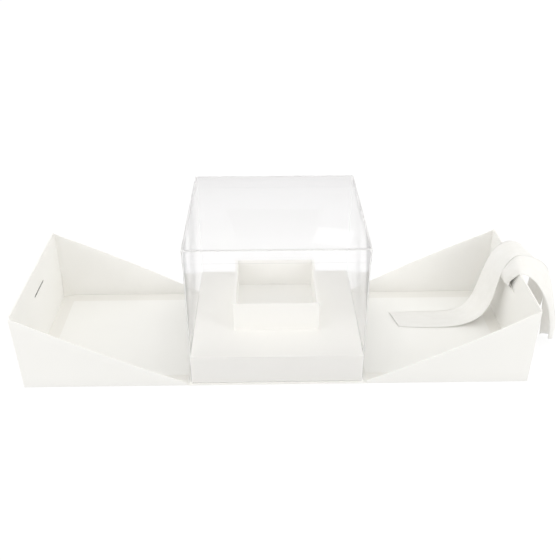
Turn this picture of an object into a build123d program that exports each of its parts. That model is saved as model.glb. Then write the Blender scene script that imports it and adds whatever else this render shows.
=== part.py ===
from build123d import *
import os

# Presentation box for a wedding gift: a card base with two doors that lie open on the table,
# and a clear box with a lift-off lid on the base. The frame is in millimetres: X runs from
# the left door to the right door, Y from the front to the back, Z up, and the origin is on
# the table under the middle of the base.

# ---- card ----
board = 1.5                # thickness of the base, the door floors and the door walls
liner = 0.3                # thin card glued on each door floor
inner_card = 1.0           # card of the riser and the tray

# ---- clear box ----
clear_width = 200.0        # outside, along X
clear_depth = 195.0        # outside, along Y
clear_height = 176.2       # from the underside to the rim
film = 0.5                 # thickness of the clear sheet
lid_play = 0.2             # between the box wall and the lid's skirt
lid_skirt = 16.0           # how far the skirt comes down

# ---- riser and tray inside the clear box ----
riser_height = 35.8
riser_play = 0.4           # between the riser and the clear wall
tray_width = 102.0
tray_depth = 104.5
tray_height = 38.0
tray_setback = 9.0         # the tray stands a little behind the middle
tray_side = 3.0            # the side walls are folded over double

# ---- doors ----
closing_gap = 2.0          # between the lid and a closed door, where the ribbon's tail lies
front_play = 0.5           # between the lid and a closed front or back wall
top_clearance = 11.5       # between the lid and the closed end walls
meeting_gap = 10.0         # between the two end walls when both doors are closed
wall_drop = 1.5            # the side walls stop a little below the end wall's top
low_end = 4.0              # height of a side wall beside the fold
liner_margin = 16.5        # bare floor between the liner and the walls
fold_gap = 0.25            # between the fold and the boards beside it
gusset_reach = 10.0        # how far a corner gusset stands out from each wall
gusset_height = 40.0
gusset_card = 0.8
slit_play = 2.0            # how much longer the slit is than the ribbon is wide
slit_width = 2.4
slit_drop = 30.0           # from the end wall's top to the slit
slit_offset = 6.0          # the slit is a little behind the middle

# ---- satin ribbon ----
ribbon_width = 38.0
ribbon_thickness = 0.8
ribbon_lift = 0.3          # the tail lies just clear of the liner
tail_length = 140.0        # of ribbon on the door floor
strand_gap = 0.5           # between the two strands side by side
wall_gap = 3.0             # between the end wall and the nearer strand
strand_step = 4.5          # between the two strands inside the wall
crest = 19.0               # how far the inner strand's arch stands above the wall
outer_crest = 11.0         # how far the outer strand's arch stands above the wall
outer_reach = 58.0         # how far the outer strand hangs out from the wall
outer_end = 1.5            # height of the outer strand's lower end

# ---- worked out from the sizes above ----
lid_half_width = clear_width / 2 + lid_play + film
lid_half_depth = clear_depth / 2 + lid_play + film
lid_top = board + clear_height + film
fold_radius = board / 2
fold_x = lid_half_width + closing_gap + liner + fold_radius
wall_in = lid_half_depth + front_play
wall_out = wall_in + board
door_start = fold_x + fold_radius + fold_gap
end_in = fold_x + (lid_top - fold_radius) + top_clearance
end_out = end_in + board
end_height = fold_x + fold_radius - meeting_gap / 2
slit_length = ribbon_width + slit_play
slit_z = end_height - slit_drop
riser_top = board + film + riser_height


def slab(x_low, x_high, y_low, y_high, z_low, z_high):
    """Adds a flat rectangular panel to the part that is being made."""
    with BuildSketch(Plane.XY.offset(z_low)) as plan:
        with Locations(((x_low + x_high) / 2, (y_low + y_high) / 2)):
            Rectangle(x_high - x_low, y_high - y_low)
    extrude(plan.sketch, amount=z_high - z_low)


def span(side, near, far):
    """The lower and the higher X of a stretch that is near to far from the middle."""
    return sorted((side * near, side * far))


# ---- base ----
def make_base_board():
    with BuildPart() as base_board:
        half = fold_x - fold_radius - fold_gap
        slab(-half, half, -wall_out, wall_out, 0, board)
    return base_board


def make_fold(side):
    """The rounded spine that a door turns about."""
    with BuildPart() as fold:
        with BuildSketch(Plane.XZ.offset(-wall_out)):
            with Locations((side * fold_x, fold_radius)):
                Circle(fold_radius)
        extrude(amount=2 * wall_out)
    return fold


# ---- doors ----
def make_floor_board(side):
    with BuildPart() as floor_board:
        slab(*span(side, door_start, end_in), -wall_in, wall_in, 0, board)
    return floor_board


def make_floor_liner(side):
    with BuildPart() as floor_liner:
        reach = end_in - liner_margin
        half = wall_in - liner_margin
        slab(*span(side, door_start, reach), -half, half, board, board + liner)
    return floor_liner


def make_end_wall(side):
    """The upright wall at the far end of a door floor, with the slit for the ribbon."""
    with BuildPart() as end_wall:
        slab(*span(side, end_in, end_out), -wall_in, wall_in, 0, end_height)
        with BuildSketch(Plane.YZ.offset(span(side, end_in, end_out)[0])):
            with Locations((slit_offset, slit_z)):
                Rectangle(slit_length, slit_width)
        extrude(amount=board, mode=Mode.SUBTRACT)
    return end_wall


def make_side_wall(side, end):
    """A wedge-shaped wall along the front (end -1) or the back (end 1) of a door."""
    with BuildPart() as side_wall:
        outline = [
            (side * door_start, 0),
            (side * end_out, 0),
            (side * end_out, end_height - wall_drop),
            (side * door_start, low_end),
        ]
        with BuildSketch(Plane.XZ.offset(-wall_out if end > 0 else wall_in)):
            with BuildLine():
                Polyline(*outline, close=True)
            make_face()
        extrude(amount=board)
    return side_wall


def make_gusset(side, end):
    """The folded web in a door's corner: an upright fin on the corner's diagonal."""
    with BuildPart() as gusset:
        corner = Plane(
            origin=(side * end_in, end * wall_in, board),
            x_dir=(-side, -end, 0),
            z_dir=(-end, side, 0) if side * end > 0 else (end, -side, 0),
        )
        start = gusset_card
        tip = gusset_reach * 2**0.5
        rise = gusset_height if corner.y_dir.Z > 0 else -gusset_height
        with BuildSketch(corner):
            with BuildLine():
                Polyline((start, 0), (tip, 0), (start, rise), close=True)
            make_face()
        extrude(amount=gusset_card / 2, both=True)
    return gusset


# ---- clear box ----
def make_clear_box_body():
    with BuildPart() as body:
        slab(-clear_width / 2, clear_width / 2, -clear_depth / 2, clear_depth / 2,
             board, board + clear_height)
        offset(amount=-film, openings=body.faces().sort_by(Axis.Z)[-1])
    return body


def make_clear_lid():
    with BuildPart() as lid:
        slab(-lid_half_width, lid_half_width, -lid_half_depth, lid_half_depth,
             lid_top - lid_skirt, lid_top)
        offset(amount=-film, openings=lid.faces().sort_by(Axis.Z)[0])
    return lid


# ---- riser and tray ----
def make_riser():
    """A card platform that fills the clear box's plan, with its sides folded down."""
    with BuildPart() as riser:
        half_width = clear_width / 2 - film - riser_play
        half_depth = clear_depth / 2 - film - riser_play
        slab(-half_width, half_width, -half_depth, half_depth, board + film, riser_top)
        offset(amount=-inner_card, openings=riser.faces().sort_by(Axis.Z)[0])
    return riser


def make_card_tray():
    """The small open tray: thin front, back and floor, and double side walls."""
    with BuildPart() as tray:
        front = tray_setback - tray_depth / 2
        back = tray_setback + tray_depth / 2
        top = riser_top + tray_height
        slab(-tray_width / 2, tray_width / 2, front, back, riser_top, top)
        with BuildSketch(Plane.XY.offset(top)):
            with Locations((0, tray_setback)):
                Rectangle(tray_width - 2 * tray_side, tray_depth - 2 * inner_card)
        extrude(amount=-(tray_height - inner_card), mode=Mode.SUBTRACT)
    return tray


# ---- ribbon ----
def ribbon_strand(points, radius, middle):
    """Adds one strand: a flat strip along a path of straight runs and arcs at Y = middle."""
    with BuildLine(Plane.XZ.offset(-middle)) as path:
        FilletPolyline(*points, radius=radius)
    start = Plane(origin=path.line @ 0, x_dir=(0, 1, 0), z_dir=path.line % 0)
    with BuildSketch(start) as section:
        Rectangle(ribbon_width, ribbon_thickness)
    sweep(section.sketch, path=path.line)


def make_ribbon():
    """A satin ribbon through the right door's slit: one strand lies inside, one outside."""
    with BuildPart() as ribbon:
        half = ribbon_thickness / 2
        floor_z = board + liner + ribbon_lift + half
        near_x = end_in - wall_gap
        inner_x = near_x - strand_step
        link_x = end_out + crest / 2
        outer_x = end_out + outer_reach
        split = slit_offset + ribbon_width / 6
        inner_y = split + strand_gap / 2 + ribbon_width / 2
        outer_y = split - strand_gap / 2 - ribbon_width / 2
        bend = crest / 3
        inner_path = [
            (inner_x - tail_length, floor_z),
            (inner_x, floor_z),
            (inner_x, end_height + crest),
            (link_x, end_height + crest),
            (link_x, slit_z - half),
        ]
        ribbon_strand(inner_path, bend, inner_y)
        outer_path = [
            (near_x, slit_z - half),
            (near_x, end_height + outer_crest),
            (end_out + outer_reach * 0.7, end_height + outer_crest * 0.6),
            (outer_x, end_height - outer_crest),
            (outer_x, outer_end),
        ]
        ribbon_strand(outer_path, bend, outer_y)
        low, high = slit_offset - ribbon_width / 2, slit_offset + ribbon_width / 2
        inner_end, outer_start = inner_y + ribbon_width / 2, outer_y - ribbon_width / 2
        slab(near_x - half, link_x + half, low, high, slit_z - half, slit_z + half)
        slab(link_x - half, link_x + half, low, inner_end, slit_z - half, slit_z + half)
        slab(near_x - half, near_x + half, outer_start, high, slit_z - half, slit_z + half)
    return ribbon


pieces = {
    "base_board": make_base_board(),
    "clear_box_body": make_clear_box_body(),
    "clear_lid": make_clear_lid(),
    "riser": make_riser(),
    "card_tray": make_card_tray(),
    "ribbon": make_ribbon(),
}
for door, side in (("left", -1), ("right", 1)):
    pieces[f"{door}_fold"] = make_fold(side)
    pieces[f"{door}_floor_board"] = make_floor_board(side)
    pieces[f"{door}_floor_liner"] = make_floor_liner(side)
    pieces[f"{door}_end_wall"] = make_end_wall(side)
    for place, end in (("front", -1), ("back", 1)):
        pieces[f"{door}_{place}_wall"] = make_side_wall(side, end)
        pieces[f"{door}_{place}_gusset"] = make_gusset(side, end)

os.makedirs("parts", exist_ok=True)
for name, piece in pieces.items():
    piece.part.label = name
    export_step(piece.part, f"parts/{name}.step")
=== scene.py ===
import math

import bmesh
import bpy
import numpy as np
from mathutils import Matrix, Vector


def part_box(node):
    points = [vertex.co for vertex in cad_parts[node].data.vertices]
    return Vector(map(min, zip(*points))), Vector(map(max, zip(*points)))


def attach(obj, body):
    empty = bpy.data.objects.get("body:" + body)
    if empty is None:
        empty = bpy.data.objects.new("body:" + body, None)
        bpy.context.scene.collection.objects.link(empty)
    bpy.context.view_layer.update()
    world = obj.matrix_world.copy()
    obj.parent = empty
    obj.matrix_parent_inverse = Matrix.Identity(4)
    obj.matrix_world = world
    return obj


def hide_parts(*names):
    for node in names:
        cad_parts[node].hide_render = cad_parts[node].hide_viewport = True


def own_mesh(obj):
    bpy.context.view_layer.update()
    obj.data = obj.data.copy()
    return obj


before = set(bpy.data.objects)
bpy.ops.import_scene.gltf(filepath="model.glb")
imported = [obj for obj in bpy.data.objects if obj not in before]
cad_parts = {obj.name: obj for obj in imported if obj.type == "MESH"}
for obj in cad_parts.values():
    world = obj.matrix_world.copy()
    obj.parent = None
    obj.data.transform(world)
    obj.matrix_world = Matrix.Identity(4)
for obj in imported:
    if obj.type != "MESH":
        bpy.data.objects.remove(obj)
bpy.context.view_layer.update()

MM = 0.001                       # every size below is in metres; MM turns millimetres into them

# ---------------------------------------------------------------------------------------------
# Studio: a white table in a white room, two soft boxes in front to the left and right, one
# behind that shows as a sheen on the clear lid, and a camera that looks down from the front.
# ---------------------------------------------------------------------------------------------
scene = bpy.context.scene
scene.view_settings.view_transform = "Standard"

camera_place = (-9.79 * MM, -770.12 * MM, 548.78 * MM)
camera_pitch, camera_yaw = 31.21, 1.12           # degrees down, and to the right
sensor_width, focal_length = 36.0, 47.1214       # mm

camera_data = bpy.data.cameras.new("camera")
camera_data.sensor_width = sensor_width
camera_data.lens = focal_length
camera_data.clip_start, camera_data.clip_end = 0.01, 20
camera = bpy.data.objects.new("camera", camera_data)
camera.location = camera_place
camera.rotation_euler = (math.radians(90 - camera_pitch), 0, math.radians(-camera_yaw))
scene.collection.objects.link(camera)
scene.camera = camera


def add_node(tree, kind, inputs=None, **settings):
    """Adds a node, with values or links for its inputs and values for its settings."""
    node = tree.nodes.new(kind)
    for name, value in settings.items():
        setattr(node, name, value)
    for name, value in (inputs or {}).items():
        socket = node.inputs[name]
        if isinstance(value, bpy.types.NodeSocket):
            tree.links.new(value, socket)
        else:
            socket.default_value = value
    return node


def soft_box(name, place, target, size, power, colour):
    """An area lamp at a place, facing a target."""
    data = bpy.data.lights.new(name, "AREA")
    data.shape, data.size, data.size_y = "RECTANGLE", size[0], size[1]
    data.energy, data.color = power, colour
    lamp = bpy.data.objects.new(name, data)
    lamp.location = place
    facing = Vector(target) - Vector(place)
    lamp.rotation_euler = facing.to_track_quat("-Z", "Y").to_euler()
    scene.collection.objects.link(lamp)


soft_box("left_box", place=(-1.45, -1.05, 0.92), target=(0.05, 0, 0.05),
         size=(0.42, 0.55), power=5.3, colour=(1, 0.995, 0.98))
soft_box("right_box", place=(1.45, -1.0, 0.92), target=(-0.05, 0, 0.05),
         size=(0.6, 0.7), power=5.6, colour=(1, 0.995, 0.98))
soft_box("sheen_box", place=(0.305, 1.0, 1.0), target=(0.068, -0.07, 0.178),
         size=(0.19, 0.20), power=0.034, colour=(1, 1, 1))

front_colour, back_colour = (0.56, 0.56, 0.56, 1), (0.62, 0.612, 0.61, 1)
side_sheet_colour = (1.04, 1.04, 1.02, 1)
top_sheet_colour = (1.11, 1.11, 1.09, 1)
world = bpy.data.worlds.new("studio")
scene.world = world
world.use_nodes = True
sky = world.node_tree
sky.nodes.clear()
direction = add_node(sky, "ShaderNodeTexCoord")
axes = add_node(sky, "ShaderNodeSeparateXYZ", {"Vector": direction.outputs["Generated"]})
sideways = add_node(sky, "ShaderNodeMath", {0: axes.outputs["X"]}, operation="ABSOLUTE")
side_share = add_node(sky, "ShaderNodeMapRange", {
    "Value": sideways.outputs["Value"], "From Min": 0.2, "From Max": 0.75},
    interpolation_type="SMOOTHSTEP")
upward = add_node(sky, "ShaderNodeMapRange", {
    "Value": axes.outputs["Z"], "From Min": 0.45, "From Max": 0.95},
    interpolation_type="SMOOTHSTEP")
backward = add_node(sky, "ShaderNodeMapRange", {
    "Value": axes.outputs["Y"], "From Min": -0.3, "From Max": 0.4},
    interpolation_type="SMOOTHSTEP")
room_colour = add_node(sky, "ShaderNodeMix", {
    "Factor": backward.outputs["Result"], "A": front_colour, "B": back_colour},
    data_type="RGBA")
side_colour = add_node(sky, "ShaderNodeMix", {
    "Factor": side_share.outputs["Result"],
    "A": room_colour.outputs["Result"], "B": side_sheet_colour}, data_type="RGBA")
sky_colour = add_node(sky, "ShaderNodeMix", {
    "Factor": upward.outputs["Result"],
    "A": side_colour.outputs["Result"], "B": top_sheet_colour}, data_type="RGBA")
backdrop = add_node(sky, "ShaderNodeBackground", {"Color": sky_colour.outputs["Result"]})
add_node(sky, "ShaderNodeOutputWorld", {"Surface": backdrop.outputs["Background"]})

table_size, table_drop = 12.0, 0.2 * MM
table_glow, table_bounce = 0.80, 0.58    # as the camera sees it, and what it throws back
bpy.ops.object.select_all(action="DESELECT")
bpy.ops.mesh.primitive_plane_add(size=table_size, location=(0, 0, -table_drop))
table = bpy.context.active_object
table.name = "table"
table_material = bpy.data.materials.new("white_table")
table_material.use_nodes = True
table_shader = table_material.node_tree.nodes["Principled BSDF"]
table_shader.inputs["Base Color"].default_value = (0.22, 0.22, 0.22, 1)
table_shader.inputs["Roughness"].default_value = 0.9
table_shader.inputs["Specular IOR Level"].default_value = 0.1
table_shader.inputs["Emission Color"].default_value = (1, 1, 1, 1)
table_ray = add_node(table_material.node_tree, "ShaderNodeLightPath")
table_strength = add_node(table_material.node_tree, "ShaderNodeMapRange", {
    "Value": table_ray.outputs["Is Diffuse Ray"], "To Min": table_glow, "To Max": table_bounce})
table_material.node_tree.links.new(
    table_strength.outputs["Result"], table_shader.inputs["Emission Strength"])
table.data.materials.append(table_material)

# ---------------------------------------------------------------------------------------------
# White board: the base, the folds, and the doors' floors and end walls, all solid board wrapped
# in smooth white paper with a fine fibre grain and a faint mottle where the glue took. On the
# floors the paper that is turned in from outside shows round the liner, a little creamier, and
# its colour is made darker too, as painted shade for the dim strip along the walls' feet.
# ---------------------------------------------------------------------------------------------


def new_group(name, inputs, outputs):
    """An empty shader node group with the given number or colour inputs, and outputs."""
    group = bpy.data.node_groups.new(name, "ShaderNodeTree")
    for label, value in inputs.items():
        kind = "NodeSocketColor" if isinstance(value, tuple) else "NodeSocketFloat"
        socket = group.interface.new_socket(label, in_out="INPUT", socket_type=kind)
        socket.default_value = value
    for label, kind in outputs.items():
        group.interface.new_socket(label, in_out="OUTPUT", socket_type=kind)
    return group, group.nodes.new("NodeGroupInput"), group.nodes.new("NodeGroupOutput")


def math_node(tree, operation, first, second):
    """The result of an operation on two numbers or sockets."""
    return add_node(tree, "ShaderNodeMath", {0: first, 1: second}, operation=operation).outputs[0]


paper_grain, grain_in, grain_out = new_group(
    "paper_grain",
    {"Paper": (0.9, 0.9, 0.87, 1), "Shade": (0.8, 0.79, 0.74, 1), "Mottle": 0.3, "Fibre": 0.2},
    {"Color": "NodeSocketColor", "Roughness": "NodeSocketFloat", "Height": "NodeSocketFloat"},
)
paper_place = add_node(paper_grain, "ShaderNodeTexCoord").outputs["Object"]
cloud = add_node(paper_grain, "ShaderNodeTexNoise", {
    "Vector": paper_place, "Scale": 28.0, "Detail": 3.0, "Roughness": 0.55}).outputs["Fac"]
stretched = add_node(paper_grain, "ShaderNodeMapping", {
    "Vector": paper_place, "Scale": (1.0, 0.35, 1.0)}).outputs["Vector"]
fibre = add_node(paper_grain, "ShaderNodeTexNoise", {
    "Vector": stretched, "Scale": 2600.0, "Detail": 2.0, "Roughness": 0.6}).outputs["Fac"]
tooth = add_node(paper_grain, "ShaderNodeTexNoise", {
    "Vector": paper_place, "Scale": 700.0, "Detail": 2.0, "Roughness": 0.5}).outputs["Fac"]
mottle_share = math_node(paper_grain, "MULTIPLY", cloud, grain_in.outputs["Mottle"])
fibre_share = math_node(paper_grain, "MULTIPLY", fibre, grain_in.outputs["Fibre"])
shade_share = math_node(paper_grain, "ADD", mottle_share, fibre_share)
paper_tone = add_node(paper_grain, "ShaderNodeMix", {
    "Factor": shade_share, "A": grain_in.outputs["Paper"], "B": grain_in.outputs["Shade"],
}, data_type="RGBA").outputs["Result"]
grain_rough = add_node(paper_grain, "ShaderNodeMapRange", {
    "Value": tooth, "To Min": 0.46, "To Max": 0.66}).outputs["Result"]
grain_height = math_node(paper_grain, "ADD", fibre, tooth)
paper_grain.links.new(paper_tone, grain_out.inputs["Color"])
paper_grain.links.new(grain_rough, grain_out.inputs["Roughness"])
paper_grain.links.new(grain_height, grain_out.inputs["Height"])


def paper_material(name, paper, shade, mottle, fibre, bump):
    """A coated card: the grain group's colour and roughness, and its height as a fine bump."""
    material = bpy.data.materials.new(name)
    material.use_nodes = True
    tree = material.node_tree
    shader = tree.nodes["Principled BSDF"]
    grain = add_node(tree, "ShaderNodeGroup", node_tree=paper_grain)
    grain.inputs["Paper"].default_value = (*paper, 1)
    grain.inputs["Shade"].default_value = (*shade, 1)
    grain.inputs["Mottle"].default_value = mottle
    grain.inputs["Fibre"].default_value = fibre
    relief = add_node(tree, "ShaderNodeBump", {
        "Height": grain.outputs["Height"], "Strength": bump, "Distance": 0.05 * MM})
    tree.links.new(grain.outputs["Color"], shader.inputs["Base Color"])
    tree.links.new(grain.outputs["Roughness"], shader.inputs["Roughness"])
    tree.links.new(relief.outputs["Normal"], shader.inputs["Normal"])
    shader.inputs["Specular IOR Level"].default_value = 0.35
    return material


def dress(node, material):
    """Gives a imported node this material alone."""
    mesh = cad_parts[node].data
    mesh.materials.clear()
    mesh.materials.append(material)


white_board = paper_material(
    "white_board", paper=(0.945, 0.938, 0.914), shade=(0.90, 0.887, 0.85),
    mottle=0.30, fibre=0.20, bump=0.25)
# Creamier turned-in paper, made darker still: painted shade for the floors' strip and the webs.
turned_paper_and_shade = paper_material(
    "turned_paper_and_shade", paper=(0.905, 0.892, 0.858), shade=(0.86, 0.845, 0.80),
    mottle=0.30, fibre=0.20, bump=0.25)
dress("base_board", white_board)
for door in ("left", "right"):
    dress(f"{door}_fold", white_board)
    dress(f"{door}_floor_board", turned_paper_and_shade)
    dress(f"{door}_end_wall", white_board)

# ---------------------------------------------------------------------------------------------
# Floor liners: a thin smoother card glued on each door's floor over the turned-in paper, with
# a fine seam all round where it ends.
# ---------------------------------------------------------------------------------------------
liner_card = paper_material(
    "liner_card", paper=(0.95, 0.944, 0.92), shade=(0.91, 0.90, 0.865),
    mottle=0.22, fibre=0.15, bump=0.15)
for door in ("left", "right"):
    dress(f"{door}_floor_liner", liner_card)

# ---------------------------------------------------------------------------------------------
# Side walls: wedge-shaped panels of paper-wrapped board along the front and back of each door.
# The sloping top is a rounded paper fold, and away from the corner the panel leans outwards.
# ---------------------------------------------------------------------------------------------
wall_rounding = 0.55 * MM
wall_low_end = 4 * MM            # height beside the fold
cuts_along, cuts_up = 16, 6      # the panel's parts each way, so that it can bend
lean_most = 4.2 * MM             # how far the top leans out, halfway to the fold
held_share = 0.07                # the part by the corner that the gusset holds upright
corner_opening = 4.2 * MM        # how far the left front corner has come apart


def select_only(piece):
    """Makes this the one selected and active object."""
    bpy.ops.object.select_all(action="DESELECT")
    piece.select_set(True)
    bpy.context.view_layer.objects.active = piece


def finish_piece(piece, name, material, body, slot, *nodes):
    """Names a finished piece, and sets its material, body and the nodes it stands for; slot is
    not used.
    """
    select_only(piece)
    bpy.ops.object.transform_apply(location=True, rotation=True, scale=True)
    piece.name = name
    piece.data.name = name
    piece.data.materials.clear()
    piece.data.materials.append(material)
    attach(piece, body)
    if nodes:
        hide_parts(*nodes)


def apply_modifiers(piece):
    """Applies every modifier on a piece, in order."""
    select_only(piece)
    for modifier in list(piece.modifiers):
        bpy.ops.object.modifier_apply(modifier=modifier.name)


def side_wall(door, place):
    """One wedge-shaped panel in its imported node's place, rounded, bent and leaning out."""
    node = f"{door}_{place}_wall"
    low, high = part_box(node)
    size = high - low
    side = 1 if door == "right" else -1
    end = 1 if place == "back" else -1
    bpy.ops.object.select_all(action="DESELECT")
    bpy.ops.mesh.primitive_cube_add(size=1, location=(low + high) / 2, scale=size)
    wall = bpy.context.active_object
    bpy.ops.object.transform_apply(location=True, rotation=True, scale=True)
    bpy.ops.object.mode_set(mode="EDIT")
    mesh = bmesh.from_edit_mesh(wall.data)
    fold_x = low.x if side > 0 else high.x
    for vertex in mesh.verts:                       # the top slopes down to a low end at the fold
        if vertex.co.z > low.z + size.z / 2 and abs(vertex.co.x - fold_x) < MM:
            vertex.co.z = low.z + wall_low_end
    bmesh.update_edit_mesh(wall.data)
    bpy.ops.mesh.select_all(action="SELECT")
    bpy.ops.mesh.bevel(offset=wall_rounding, segments=3, affect="EDGES")
    for step in range(1, cuts_along):
        cut = low.x + size.x * step / cuts_along
        bpy.ops.mesh.select_all(action="SELECT")
        bpy.ops.mesh.bisect(plane_co=(cut, 0, 0), plane_no=(1, 0, 0))
    for step in range(1, cuts_up):
        cut = low.z + size.z * step / cuts_up
        bpy.ops.mesh.select_all(action="SELECT")
        bpy.ops.mesh.bisect(plane_co=(0, 0, cut), plane_no=(0, 0, 1))
    bpy.ops.object.mode_set(mode="OBJECT")
    for vertex in wall.data.vertices:
        along = abs(vertex.co.x - (high.x if side > 0 else low.x)) / size.x
        top = wall_low_end + (size.z - wall_low_end) * (1 - along)
        height = max(0.0, min(1.0, (vertex.co.z - low.z) / top))
        free = max(0.0, along - held_share) / (1 - held_share)
        lean = lean_most * math.sin(math.pi * free) ** 0.8      # none at the panel's two ends
        if door == "left" and place == "front":
            lean += corner_opening * (1 - along) ** 3
        vertex.co.y += end * lean * height ** 1.2
    finish_piece(wall, f"{node}_panel", white_board, f"{door}_door", "white_board", node)
    bpy.ops.object.shade_smooth_by_angle(angle=math.radians(35))


for door in ("left", "right"):
    for place in ("front", "back"):
        side_wall(door, place)

# ---------------------------------------------------------------------------------------------
# Corner gussets: small webs of the wrapping paper, folded across the corners between the end
# wall and the side walls. They close the seam's foot and run out on to the floor. They take the
# floors' darker paper, which is painted shade for the dim corners.
# ---------------------------------------------------------------------------------------------
web_height = 34 * MM
web_on_end, web_on_side = 4 * MM, 11 * MM        # how far it reaches along each wall's foot
web_paper = 0.35 * MM
web_clearance = 0.08 * MM


def corner_web(door, place):
    """One thin triangular web that reaches down a corner and out along the feet of two walls."""
    end_low, end_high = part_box(f"{door}_end_wall")
    wall_low, wall_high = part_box(f"{door}_{place}_wall")
    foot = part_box(f"{door}_floor_board")[1].z + web_clearance
    inward = -1 if door == "right" else 1
    toward = -1 if place == "back" else 1
    face_x = (end_low.x if door == "right" else end_high.x) + inward * web_clearance
    face_y = (wall_low.y if place == "back" else wall_high.y) + toward * web_clearance
    top = Vector((face_x, face_y, foot + web_height))
    on_end = Vector((face_x, face_y + toward * web_on_end, foot))
    on_side = Vector((face_x + inward * web_on_side, face_y, foot))
    bpy.ops.object.select_all(action="DESELECT")
    bpy.ops.mesh.primitive_circle_add(vertices=3, fill_type="NGON")
    web = bpy.context.active_object
    for vertex, corner in zip(web.data.vertices, (top, on_end, on_side)):
        vertex.co = corner
    bpy.ops.object.mode_set(mode="EDIT")
    bpy.ops.mesh.select_all(action="SELECT")
    bpy.ops.mesh.extrude_region_move(
        TRANSFORM_OT_translate={"value": (inward * web_paper, toward * web_paper, 0)})
    bpy.ops.mesh.select_all(action="SELECT")
    bpy.ops.mesh.normals_make_consistent(inside=False)
    bpy.ops.object.mode_set(mode="OBJECT")
    finish_piece(web, f"{door}_{place}_web", turned_paper_and_shade, f"{door}_door", "white_board",
                 f"{door}_{place}_gusset")


for door in ("left", "right"):
    for place in ("front", "back"):
        corner_web(door, place)

# ---------------------------------------------------------------------------------------------
# Left slit: a cut through the left end wall, like the one that holds the ribbon. A thin
# near-black strip in the middle of the board is painted shadow: it stands for the shade deep in
# the cut.
# ---------------------------------------------------------------------------------------------
slit_low = Vector((-293.6, -13.9, 68.4)) * MM    # the strip's corners, just inside the slit
slit_high = Vector((-293.3, 25.9, 70.6)) * MM
bpy.ops.object.select_all(action="DESELECT")
bpy.ops.mesh.primitive_cube_add(
    size=1, location=(slit_low + slit_high) / 2, scale=slit_high - slit_low)
slit_shadow_strip = bpy.context.active_object
bpy.ops.object.transform_apply(location=True, rotation=True, scale=True)
slit_shadow_strip.name = "left_slit_painted_shadow"
slit_shadow_strip.data.name = "left_slit_painted_shadow"
# Near-black colour for the strip: painted shadow in the cut, not the colour of any paper.
slit_painted_shadow = paper_material(
    "slit_painted_shadow", paper=(0.035, 0.032, 0.028), shade=(0.02, 0.018, 0.016),
    mottle=0.2, fibre=0.1, bump=0.2)
slit_shadow_strip.data.materials.append(slit_painted_shadow)
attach(slit_shadow_strip, "left_door")

# ---------------------------------------------------------------------------------------------
# Clear box: one sheet of clear plastic, scored and folded into a box that is open at the top.
# Its score lines are frosted, and the film is never quite flat, so it ripples light.
# ---------------------------------------------------------------------------------------------
film = 0.30 * MM
film_corner = 0.4 * MM
card_clearance = 0.04 * MM       # keeps the film's faces off the card that it touches
fold_reach = 1.2 * MM            # how far the frosting spreads from a fold
clean_roughness = 0.035          # of the film away from folds and scuffs

film_marks, marks_in, marks_out = new_group(
    "film_marks",
    {"Ripple": 1.0, "Scuffs": 0.5, "Fold": 0.65},
    {"Roughness": "NodeSocketFloat", "Height": "NodeSocketFloat"},
)
body_low, body_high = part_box("clear_box_body")
lid_low, lid_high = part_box("clear_lid")
film_place = add_node(film_marks, "ShaderNodeTexCoord").outputs["Object"]
ripple = add_node(film_marks, "ShaderNodeTexNoise", {
    "Vector": film_place, "Scale": 9.0, "Detail": 1.0, "Roughness": 0.4}).outputs["Fac"]
scuff_noise = add_node(film_marks, "ShaderNodeTexNoise", {
    "Vector": film_place, "Scale": 130.0, "Detail": 4.0, "Roughness": 0.7}).outputs["Fac"]
scuff_mask = add_node(film_marks, "ShaderNodeMapRange", {
    "Value": scuff_noise, "From Min": 0.66, "From Max": 0.8}).outputs["Result"]
scuff_share = math_node(film_marks, "MULTIPLY", scuff_mask, marks_in.outputs["Scuffs"])
film_axes = add_node(film_marks, "ShaderNodeSeparateXYZ", {"Vector": film_place})
from_middle_x = math_node(film_marks, "ABSOLUTE", film_axes.outputs["X"], 0.0)
from_middle_y = math_node(film_marks, "ABSOLUTE", film_axes.outputs["Y"], 0.0)
near_side = math_node(film_marks, "GREATER_THAN", from_middle_x, body_high.x - fold_reach)
near_face = math_node(film_marks, "GREATER_THAN", from_middle_y, body_high.y - fold_reach)
near_top = math_node(film_marks, "GREATER_THAN", film_axes.outputs["Z"], lid_high.z - fold_reach)
near_foot = math_node(film_marks, "LESS_THAN", film_axes.outputs["Z"], body_low.z + fold_reach)
near_ends = math_node(film_marks, "ADD", near_top, near_foot)
near_sides = math_node(film_marks, "ADD", near_side, near_face)
near_count = math_node(film_marks, "ADD", near_sides, near_ends)
on_fold = math_node(film_marks, "GREATER_THAN", near_count, 1.5)      # where two faces meet
fold_rough = math_node(film_marks, "MULTIPLY", on_fold, marks_in.outputs["Fold"])
worn_rough = math_node(film_marks, "ADD", scuff_share, fold_rough)
film_rough = math_node(film_marks, "ADD", worn_rough, clean_roughness)
film_height = math_node(film_marks, "MULTIPLY", ripple, marks_in.outputs["Ripple"])
film_marks.links.new(film_rough, marks_out.inputs["Roughness"])
film_marks.links.new(film_height, marks_out.inputs["Height"])


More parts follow.
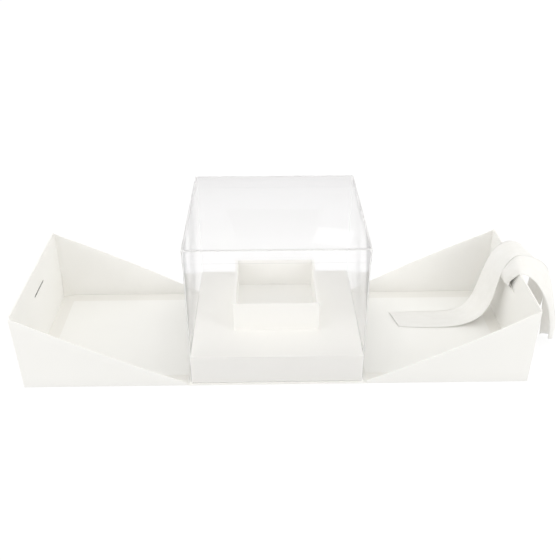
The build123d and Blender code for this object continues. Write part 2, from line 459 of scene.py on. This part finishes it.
def film_material(name, tint, ripple_height):
    """Clear plastic that lets lamps through: glass, with a clear stand-in for shadow rays."""
    material = bpy.data.materials.new(name)
    material.use_nodes = True
    tree = material.node_tree
    shader = tree.nodes["Principled BSDF"]
    output = tree.nodes["Material Output"]
    marks = add_node(tree, "ShaderNodeGroup", node_tree=film_marks)
    relief = add_node(tree, "ShaderNodeBump", {
        "Height": marks.outputs["Height"], "Strength": 1.0, "Distance": ripple_height})
    shader.inputs["Base Color"].default_value = (*tint, 1)
    shader.inputs["Transmission Weight"].default_value = 1.0
    shader.inputs["IOR"].default_value = 1.53
    tree.links.new(marks.outputs["Roughness"], shader.inputs["Roughness"])
    tree.links.new(relief.outputs["Normal"], shader.inputs["Normal"])
    clear = add_node(tree, "ShaderNodeBsdfTransparent", {"Color": (0.985, 0.984, 0.986, 1)})
    ray = add_node(tree, "ShaderNodeLightPath")
    mixed = add_node(tree, "ShaderNodeMixShader", {
        0: ray.outputs["Is Shadow Ray"], 1: shader.outputs["BSDF"], 2: clear.outputs["BSDF"]})
    tree.links.new(mixed.outputs["Shader"], output.inputs["Surface"])
    return material


def film_shell(low, high, open_z):
    """A folded shell of film between two corners, open at the top or the bottom."""
    bpy.ops.object.select_all(action="DESELECT")
    bpy.ops.mesh.primitive_cube_add(size=1, location=(low + high) / 2, scale=high - low)
    shell = bpy.context.active_object
    bpy.ops.object.transform_apply(location=True, rotation=True, scale=True)
    bpy.ops.object.mode_set(mode="EDIT")
    bpy.ops.mesh.select_mode(type="FACE")
    mesh = bmesh.from_edit_mesh(shell.data)
    for face in mesh.faces:
        face.select_set(abs(face.calc_center_median().z - open_z) < MM)
    bpy.ops.mesh.delete(type="FACE")
    bpy.ops.mesh.select_mode(type="EDGE")
    mesh = bmesh.from_edit_mesh(shell.data)
    for edge in mesh.edges:
        edge.select_set(not edge.is_boundary)
    bpy.ops.mesh.bevel(offset=film_corner, segments=3, affect="EDGES")
    bpy.ops.object.mode_set(mode="OBJECT")
    wall = shell.modifiers.new("film", "SOLIDIFY")
    wall.thickness, wall.offset, wall.use_even_offset = film, -1, True
    apply_modifiers(shell)
    return shell


clear_film = film_material(
    "clear_film", tint=(0.995, 0.993, 0.995), ripple_height=0.35 * MM)
body_foot = body_low + Vector((0, 0, card_clearance))
clear_body = film_shell(body_foot, body_high, body_high.z)
finish_piece(clear_body, "clear_box_film", clear_film, "base", "clear_film", "clear_box_body")
bpy.ops.object.shade_smooth_by_angle(angle=math.radians(25))

# ---------------------------------------------------------------------------------------------
# Clear lid: a second folded sheet with a shallow skirt, which lifts off. Its top picks up the
# light behind the table as a soft grey sheen.
# ---------------------------------------------------------------------------------------------
clear_lid = film_shell(lid_low, lid_high, lid_low.z)
finish_piece(clear_lid, "clear_lid_film", clear_film, "lid", "clear_film", "clear_lid")
bpy.ops.object.shade_smooth_by_angle(angle=math.radians(25))

# ---------------------------------------------------------------------------------------------
# Riser and tray: thin white card, scored and folded. The tray's side walls are folded double,
# so their tops are wider than those of its front and back.
# ---------------------------------------------------------------------------------------------
inner_card = paper_material(
    "inner_card", paper=(0.95, 0.943, 0.915), shade=(0.905, 0.89, 0.85),
    mottle=0.25, fibre=0.22, bump=0.3)
dress("riser", inner_card)
dress("card_tray", inner_card)

# ---------------------------------------------------------------------------------------------
# Ribbon: one length of ivory satin, with both ends cut aslant. It lies on the right door's
# floor, goes over the end wall, comes back in through the slit, and goes over the wall again
# to hang outside.
# ---------------------------------------------------------------------------------------------
ribbon_width = 38 * MM
ribbon_thickness = 0.3 * MM
ribbon_columns = 16
rows_per_span = 8                # of mesh between one station and the next

# Each station: the front edge, the back edge, in mm, and which way the strip bulges between
# them: 1 to its upper or outer side, -1 to the other, 0 flat.
ribbon_stations = [
    ((160, 12, 2.3), (152, 45, 2.4), -0.12),
    ((168, 11, 2.3), (161, 45.5, 2.4), -0.1),
    ((180, 9.5, 2.4), (173, 46, 2.5), -0.05),
    ((194, 8.5, 2.5), (192, 46, 2.8), 0.0),
    ((212, 8.5, 2.6), (214, 46.5, 2.8), 0.0),
    ((230, 9.5, 3.0), (234, 47.5, 3.4), 0.0),
    ((243, 11, 4.4), (246.5, 48.5, 7.0), 0.1),
    ((254.5, 12, 8.8), (253.5, 49.5, 13.0), 0.1),
    ((264.5, 12, 15.5), (258.5, 50, 21.5), 0.1),
    ((272, 12, 26), (262.5, 50, 31), 0.1),
    ((276.8, 12, 39), (265, 50, 44), 0.1),
    ((279, 12, 54), (268.5, 50, 58), 0.1),
    ((280.6, 12, 70), (272, 50, 73), 0.1),
    ((283.5, 12, 86), (276.5, 50, 88), 0.0),
    ((289, 12, 99.5), (284, 50, 100), -0.1),
    ((297, 12, 106.5), (293.5, 50, 107), -0.2),
    ((306, 13, 107), (303.5, 50, 107.5), -0.2),
    ((315, 14, 103), (314, 50, 103), -0.2),
    ((323, 14, 97), (322.5, 50, 96), -0.2),
    ((331, 13.5, 88.5), (328.5, 49.5, 86), -0.2),
    ((337, 12, 76), (331.5, 48, 75), -0.2),
    ((339.5, 10, 60), (332.5, 46.5, 62), -0.2),
    ((339.5, 7, 44), (332, 43.5, 50), -0.2),
    ((335, 3, 32), (328, 40, 40), -0.1),
    ((325, -2, 28), (319, 35.5, 37), 0.0),
    ((314, -6, 36), (309.5, 31, 45), 0.0),
    ((305, -9, 50), (303, 29, 56), 0.0),
    ((299, -10, 62), (298.5, 28, 65), 0.0),
    ((294, -10, 69.5), (294, 27, 69.5), 0.0),
    ((288.0, -4, 71.5), (288, 26, 71.5), -0.3),
    ((287.5, -6, 80), (286, 20, 80), -0.5),
    ((289.5, -14, 90), (287.5, 16, 90), -0.4),
    ((293, -21, 99.5), (290.5, 13, 100), -0.3),
    ((299, -24, 100), (298, 13.5, 106.5), -0.4),
    ((306, -24.5, 96), (308.5, 13, 107), -0.5),
    ((312.5, -25, 89.5), (321, 11, 104.5), -0.6),
    ((319, -25, 81), (333, 8.5, 98), -0.8),
    ((325.5, -25, 71), (341, 6, 85), -0.9),
    ((330.5, -25.5, 60.5), (339.5, 5, 69), -0.9),
    ((335, -26, 49), (337, 3.5, 54.5), -0.95),
    ((338, -26.5, 37), (336.5, 0, 41), -1.0),
    ((340, -27, 25), (337, -4, 28), -1.0),
    ((341, -27, 15), (337, -8, 14), -0.9),
    ((341.5, -26.5, 8), (336.5, -11.5, 4.5), -0.8),
]


def smooth_route(points, steps):
    """Points along a uniform cubic B-spline that starts and ends at the first and last point."""
    points = np.array(points, float)
    padded = np.vstack([2 * points[0] - points[1], points, 2 * points[-1] - points[-2]])
    route = []
    for index in range(len(points) - 1):
        quad = padded[index:index + 4]
        for step in range(steps):
            t = step / steps
            weights = np.array([
                (1 - t) ** 3, 3 * t ** 3 - 6 * t ** 2 + 4,
                -3 * t ** 3 + 3 * t ** 2 + 3 * t + 1, t ** 3]) / 6
            route.append(weights @ quad)
    route.append(points[-1])
    return np.array(route)


def cross_section(width, chord):
    """Half angle and radius of an arc as long as the width, whose ends are a chord apart."""
    angles = np.linspace(0.02, 2.9, 400)
    ratio = min(0.9999, chord / width)
    half = float(np.interp(ratio, (np.sin(angles) / angles)[::-1], angles[::-1]))
    return half, width / 2 / half


front = smooth_route([s[0] for s in ribbon_stations], rows_per_span) * MM
back = smooth_route([s[1] for s in ribbon_stations], rows_per_span) * MM
bulge = smooth_route([[s[2]] for s in ribbon_stations], rows_per_span)[:, 0]
middle = (front + back) / 2
along = np.gradient(middle, axis=0)
along /= np.linalg.norm(along, axis=1)[:, None]
lengths = np.concatenate([[0], np.cumsum(np.linalg.norm(np.diff(middle, axis=0), axis=1))])

ribbon_points, ribbon_uv = [], []
for row in range(len(middle)):
    across = back[row] - front[row]
    chord = min(np.linalg.norm(across), ribbon_width)
    across /= np.linalg.norm(across)
    outward = np.cross(across, along[row])
    outward /= np.linalg.norm(outward)
    half, radius = cross_section(ribbon_width, chord)
    for column in range(ribbon_columns + 1):
        share = 2 * column / ribbon_columns - 1
        angle = half * share
        spot = middle[row] + across * radius * math.sin(angle)
        rise = radius * (math.cos(angle) - math.cos(half)) * bulge[row]
        ribbon_points.append(spot + outward * rise)
        ribbon_uv.append(((share + 1) / 2 * ribbon_width, lengths[row]))

ribbon_mesh = bpy.data.meshes.new("satin_ribbon")
row_points = ribbon_columns + 1
ribbon_faces = []
for row in range(len(middle) - 1):
    for column in range(ribbon_columns):
        here = row * row_points + column
        above = here + row_points
        ribbon_faces.append((here, here + 1, above + 1, above))
ribbon_mesh.from_pydata([tuple(p) for p in ribbon_points], [], ribbon_faces)
weave_map = ribbon_mesh.uv_layers.new(name="weave")
for loop in ribbon_mesh.loops:
    weave_map.data[loop.index].uv = ribbon_uv[loop.vertex_index]
ribbon = bpy.data.objects.new("satin_ribbon", ribbon_mesh)
scene.collection.objects.link(ribbon)
cloth = ribbon.modifiers.new("cloth", "SOLIDIFY")
cloth.thickness, cloth.offset = ribbon_thickness, 0
apply_modifiers(ribbon)

satin = bpy.data.materials.new("satin")
satin.use_nodes = True
satin_tree = satin.node_tree
satin_shader = satin_tree.nodes["Principled BSDF"]
weave_uv = add_node(satin_tree, "ShaderNodeUVMap", uv_map="weave").outputs["UV"]
threads = add_node(satin_tree, "ShaderNodeTexWave", {
    "Vector": weave_uv, "Scale": 900.0, "Distortion": 0.6}, bands_direction="X").outputs["Fac"]
creases = add_node(satin_tree, "ShaderNodeMapping", {
    "Vector": weave_uv, "Scale": (3.0, 1.0, 1.0)}).outputs["Vector"]
crease_noise = add_node(satin_tree, "ShaderNodeTexNoise", {
    "Vector": creases, "Scale": 60.0, "Detail": 3.0}).outputs["Fac"]
thread_relief = add_node(satin_tree, "ShaderNodeBump", {
    "Height": threads, "Strength": 0.25, "Distance": 0.03 * MM})
crease_relief = add_node(satin_tree, "ShaderNodeBump", {
    "Height": crease_noise, "Strength": 0.5, "Distance": 0.8 * MM,
    "Normal": thread_relief.outputs["Normal"]})
# The base colour is streaked lighter and darker along the ribbon with the crease noise: painted
# sheen streaks.
satin_tone_and_painted_sheen = add_node(satin_tree, "ShaderNodeMix", {
    "Factor": crease_noise, "A": (0.95, 0.94, 0.915, 1), "B": (0.87, 0.856, 0.82, 1)},
    data_type="RGBA")
satin_tree.links.new(satin_tone_and_painted_sheen.outputs["Result"], satin_shader.inputs["Base Color"])
satin_tree.links.new(crease_relief.outputs["Normal"], satin_shader.inputs["Normal"])
satin_shader.inputs["Roughness"].default_value = 0.33
satin_shader.inputs["Specular IOR Level"].default_value = 0.7
satin_shader.inputs["Anisotropic"].default_value = 0.6
satin_shader.inputs["Subsurface Weight"].default_value = 0.12     # light comes through it
satin_shader.inputs["Subsurface Radius"].default_value = (1.0, 0.95, 0.85)
satin_shader.inputs["Subsurface Scale"].default_value = 2 * MM
finish_piece(ribbon, "satin_ribbon", satin, "right_door", "satin", "ribbon")
bpy.ops.object.shade_smooth()
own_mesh(ribbon)
